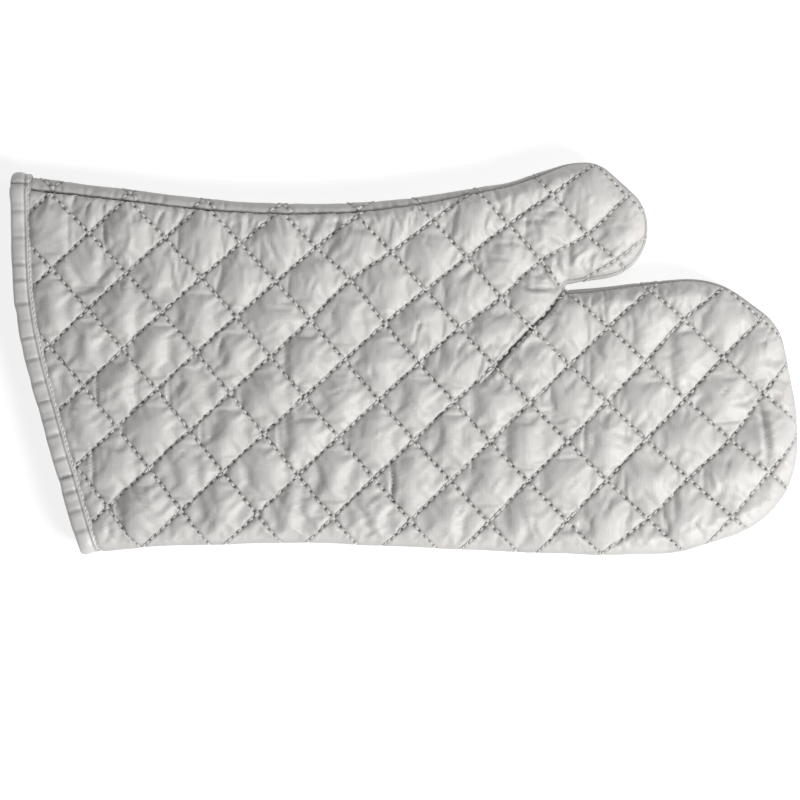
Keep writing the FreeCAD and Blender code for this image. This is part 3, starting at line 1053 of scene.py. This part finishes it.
def tape_points(path, inwards, outwards, seed):
    """The tape's section at each point of the edge, rippled, creased and sunk at its ends, with painted shade
    in its creases, grooves and ends.
    """
    along = np.arange(len(path)) * TAPE_STEP
    ripple = 0.45 * wavy(along / 5.2, seed) + 0.3 * wavy(along / 2.3, seed + 5)
    frayed = 0.4 * wavy(along / 6.0, seed + 2)
    pinch = np.zeros(len(path))
    for y, depth in TAPE_CREASES:
        pinch += 1.3 * depth * bell(path[:, 1] - y, 0.9)
    verts, shade = [], []
    for index, at in enumerate(path):
        sunk = min(index, len(path) - 1 - index) < TAPE_END_ROWS
        for inset, height in TAPE:
            height -= 1.3 if sunk else 0.0
            loose = math.sin(math.pi * min(1.0, max(0.0, inset / 8.9))) ** 0.6
            move = loose * (ripple[index] - pinch[index]) * (0.9 if height > 0 else 0.3)
            edge = frayed[index] * (1 - inset / 10.0)
            verts.append(at + inwards[index] * (inset + edge) + outwards[index] * (height + move))
            # Painted shade: darker in the creases and grooves, and much darker in the sunk rows at the ends.
            dark = 0.42 * pinch[index] * loose + TAPE_SHADE.get(inset, 0.0)
            shade.append((1 - min(dark, 0.8)) * (0.35 if sunk else 1.0))
    return np.array(verts), np.array(shade)


# ---- lining


def lining(panel, which, material):
    """The inside cloth of a panel, quilted with it, from the cuff to the tips."""
    inside_path = panel.path + panel.normals * PANEL_THICK
    inside_path = inside_path[edge_inset(inside_path) > PANEL_THICK - 0.3]
    end = np.linspace(inside_path[-1], inside_path[0], 40)[1:-1]
    end[:, 0] = cuff_x(end[:, 1]) + 3.0
    border = np.vstack([inside_path, end])
    points, faces, _ = fill_border(border, lining_points(panel, border))
    faces = [face[::-1] if panel.side > 0 else face for face in faces]
    inset = edge_inset(points)
    verts = np.column_stack([points, surface_height(points, inset, panel.side, PANEL_THICK)])
    lines = [panel.lift(line) - [0, 0, panel.side * PANEL_THICK] for line in panel.lines]
    away, _, _ = LineFinder(lines).look(verts)
    verts[:, 2] -= panel.side * 1.0 * (1 - np.exp(-away / 3.0)) * (inset > RIM)
    parts = split_off_thumb(new_mesh(which + "_lining_cloth", verts, faces))
    finish_pair(parts, material, nodes_called(which + "_lining"))


def lining_points(panel, border):
    """Rows of points along the lining's edge, where it curves, and a coarser grid inside."""
    steps = np.arange(-216.0, 220.0, 4.6)
    x, y = np.meshgrid(steps, steps)
    grid = np.column_stack([x.ravel(), y.ravel()])
    grid = grid[(grid[:, 0] > cuff_x(grid[:, 1]) + 6.0) & inside(grid, border)]
    rings = []
    for extra in (0.3, 1.2, 2.7, 4.9):
        step = panel.path + panel.normals * (PANEL_THICK + extra)
        clear = edge_inset(step) > PANEL_THICK + extra - 0.15
        rings.append(step[clear & (step[:, 0] > cuff_x(step[:, 1]) + 4.0)])
    taken = KeepApart(border)
    inner = taken.add(np.vstack(rings), 0.9)
    return inner, taken.add(grid[edge_inset(grid) > PANEL_THICK + 7.0], 2.5)


# ---- seam and bar tacks

def seam_line(panel):
    """The joining seam in space, from the cuff's little-finger side round to its thumb side."""
    return on_rim(panel.path, panel.normals, panel.roll, 1)


def bar_tack(node, panel, index, finder, material):
    """A short dense zigzag across the seam at one end of the cuff."""
    line = resample(seam_line(panel)[index], 0.45)[:13]
    shapes = []
    for number, at in enumerate(line):
        found = finder.find_nearest(Vector(at * MM))
        normal = np.array(found[1])
        ahead = line[min(number + 1, len(line) - 1)] - line[max(number - 1, 0)]
        ahead /= np.linalg.norm(ahead)
        across = np.cross(normal, ahead)
        places = []
        for share in (-1.0, -0.8, 0.0, 0.8, 1.0):
            height = 0.35 - 0.75 * share * share
            places.append((at + across * 1.3 * share + normal * height, normal, 0.24))
        shapes.append(places)
    obj = tube_mesh(node + "_stitches", shapes)
    dress(obj, material, [node])
    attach(obj, "hand")


# ---- camera and light

VIEW_WIDTH = 0.4374       # metres across the picture, at the height of the palm
PALM_HEIGHT = 0.016


def add_camera():
    """Straight above the mitt, which lies a little above the middle of the picture."""
    data = bpy.data.cameras.new("camera")
    data.lens = 100.0
    data.sensor_width = 36.0
    data.clip_end = 20.0
    camera = bpy.data.objects.new("camera", data)
    distance = VIEW_WIDTH * data.lens / data.sensor_width
    camera.location = (-0.00197, -0.0226, distance + PALM_HEIGHT)
    bpy.context.scene.collection.objects.link(camera)
    bpy.context.scene.camera = camera


def add_area(name, place, target, size, power):
    data = bpy.data.lights.new(name, "AREA")
    data.size = size
    data.energy = power
    light = bpy.data.objects.new(name, data)
    light.location = place
    aim = Vector(target) - Vector(place)
    light.rotation_euler = aim.to_track_quat("-Z", "Y").to_euler()
    bpy.context.scene.collection.objects.link(light)


def add_lights():
    """A soft key light low on the right, a small fill over the thumb, and an even white sky."""
    add_area("key", (1.12, -0.92, 1.15), (0, 0, 0), 0.6, 30.0)
    add_area("thumb_fill", (0.22, 0.25, 0.32), (0.11, 0.07, 0.02), 0.2, 0.26)
    world = bpy.data.worlds.new("world")
    world.use_nodes = True
    set_inputs(world.node_tree.nodes["Background"], Color=(1, 1, 1, 1), Strength=0.35)
    bpy.context.scene.world = world
    bpy.context.scene.view_settings.view_transform = "Standard"


def add_floor():
    size = 3000.0
    corners = [(-size, -size, -0.05), (size, -size, -0.05), (size, size, -0.05), (-size, size, -0.05)]
    floor = new_mesh("floor", corners, [(0, 1, 2, 3)])
    material = bpy.data.materials.new("floor")
    material.use_nodes = True
    set_inputs(material.node_tree.nodes["Principled BSDF"], Base_Color=(0.38, 0.38, 0.38, 1),
               Roughness=0.9, Emission_Color=(1, 1, 1, 1), Emission_Strength=0.74)
    floor.data.materials.append(material)


# ---- materials

def set_inputs(node, **values):
    for name, value in values.items():
        node.inputs[name.replace("_", " ")].default_value = value


def node_of(tree, kind, **values):
    node = tree.nodes.new(kind)
    set_inputs(node, **values)
    return node


def math_of(tree, operation, first, second):
    node = tree.nodes.new("ShaderNodeMath")
    node.operation = operation
    tree.links.new(first, node.inputs[0])
    tree.links.new(second, node.inputs[1])
    return node.outputs[0]


def cloth_material(name, light, dark, roughness, metallic, grain, weave):
    """Woven cloth: two close tones in soft blotches, and a fine weave and grain as bump."""
    material = bpy.data.materials.new(name)
    material.use_nodes = True
    tree = material.node_tree
    shader = tree.nodes["Principled BSDF"]
    set_inputs(shader, Roughness=roughness, Metallic=metallic, Sheen_Weight=0.05, Sheen_Roughness=0.4)
    place = tree.nodes.new("ShaderNodeTexCoord").outputs["Object"]
    tree.links.new(cloth_colour(tree, place, light, dark), shader.inputs["Base Color"])
    tree.links.new(cloth_bump(tree, place, grain, weave), shader.inputs["Normal"])
    return material


def cloth_colour(tree, place, light, dark):
    """Blotches of two tones, darkened by the painted shade kept in the mesh."""
    link = tree.links.new
    blotch = node_of(tree, "ShaderNodeTexNoise", Scale=55.0, Detail=4.0, Roughness=0.6)
    link(place, blotch.inputs["Vector"])
    tones = tree.nodes.new("ShaderNodeValToRGB")
    for element, position, tone in zip(tones.color_ramp.elements, (0.35, 0.68), (dark, light)):
        element.position = position
        element.color = (*tone, 1)
    link(blotch.outputs["Fac"], tones.inputs["Fac"])
    # The mesh's painted shade multiplies the cloth's colour.
    shade = tree.nodes.new("ShaderNodeAttribute")
    shade.attribute_name = "shade"
    darker = tree.nodes.new("ShaderNodeMix")
    darker.data_type = "RGBA"
    darker.blend_type = "MULTIPLY"
    darker.inputs["Factor"].default_value = 1.0
    link(tones.outputs["Color"], darker.inputs["A"])
    link(shade.outputs["Fac"], darker.inputs["B"])
    return darker.outputs["Result"]


def cloth_bump(tree, place, grain, weave):
    """A fine weave and grain over soft unevenness, stretched across the cloth."""
    link = tree.links.new
    threads = []
    for direction in ("X", "Y"):
        wave = node_of(tree, "ShaderNodeTexWave", Scale=weave, Distortion=0.6, Detail=1.0)
        wave.bands_direction = direction
        link(place, wave.inputs["Vector"])
        threads.append(wave.outputs["Fac"])
    fine = node_of(tree, "ShaderNodeTexNoise", Scale=900.0, Detail=3.0, Roughness=0.6)
    link(place, fine.inputs["Vector"])
    stretch = node_of(tree, "ShaderNodeMapping", Scale=(1.0, 0.4, 1.0))
    stretch.inputs["Rotation"].default_value = (0.0, 0.0, math.radians(14.0))
    link(place, stretch.inputs["Vector"])
    soft = node_of(tree, "ShaderNodeTexNoise", Scale=210.0, Detail=4.0, Roughness=0.55, Distortion=0.5)
    link(stretch.outputs["Vector"], soft.inputs["Vector"])
    surface = math_of(tree, "ADD", math_of(tree, "MULTIPLY", *threads), fine.outputs["Fac"])
    bump_fine = node_of(tree, "ShaderNodeBump", Strength=grain, Distance=0.00015)
    link(surface, bump_fine.inputs["Height"])
    bump_soft = node_of(tree, "ShaderNodeBump", Strength=grain, Distance=0.0009)
    link(soft.outputs["Fac"], bump_soft.inputs["Height"])
    link(bump_fine.outputs["Normal"], bump_soft.inputs["Normal"])
    return bump_soft.outputs["Normal"]


# ---- the mitt

def make_panel(which, side, cloth, tape, inner, thread, light_thread):
    panel = Panel(which + "_panel", side)
    shell = quilted_panel(panel)
    finder = surface_finder(shell)
    shapes = []
    for line in panel.sewn_lines():
        stitch_run(line, finder, STITCH, STITCH_RADIUS, shapes)
    sew(which + "_quilting_stitches", shapes, thread, nodes_called(which + "_quilting"))
    parts = split_off_thumb(shell)
    finish_pair(parts, cloth, nodes_called(which + "_shell", which + "_batting"))
    tape_piece, stitch_path = binding(panel, which, tape)
    shapes = []
    stitch_run(stitch_path, surface_finder(tape_piece), 2.8, 0.32, shapes, lift=0.25)
    topstitch = tube_mesh(which + "_binding_stitches", shapes)
    dress(topstitch, light_thread, [which + "_binding_stitching"])
    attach(topstitch, "hand")
    lining(panel, which, inner)
    return panel, finder


# Name, light tone, dark tone, roughness, metallic, strength of the bump, scale of the weave.
CLOTHS = [
    ("silver_cloth", (0.645, 0.628, 0.61), (0.57, 0.555, 0.54), 0.58, 0.1, 0.35, 420.0),
    ("silver_tape", (0.68, 0.665, 0.65), (0.60, 0.585, 0.575), 0.48, 0.12, 0.25, 420.0),
    ("lining_cloth", (0.72, 0.70, 0.66), (0.64, 0.62, 0.58), 0.85, 0.0, 0.5, 300.0),
    ("thread", (0.70, 0.685, 0.67), (0.60, 0.585, 0.57), 0.7, 0.0, 0.5, 900.0),
    ("light_thread", (0.86, 0.85, 0.84), (0.74, 0.73, 0.72), 0.6, 0.0, 0.4, 900.0),
]


def make_mitt():
    """Both panels, each with its own tape and lining, then the stitching that joins them."""
    cloth, tape, inner, thread, light_thread = [cloth_material(*row) for row in CLOTHS]
    make_panel("back", -1, cloth, tape, inner, thread, light_thread)
    panel, finder = make_panel("front", 1, cloth, tape, inner, thread, light_thread)
    shapes = []
    stitch_run(seam_line(panel), finder, SEAM_STEP, 0.26, shapes, lift=-0.3)
    sew("seam_stitches", shapes, thread, nodes_called("seam_thread"))
    bar_tack("bar_tack_thumb_edge", panel, slice(None, -8, -1), finder, thread)
    bar_tack("bar_tack_little_finger_edge", panel, slice(0, 7), finder, thread)


add_camera()
add_lights()
add_floor()
make_mitt()
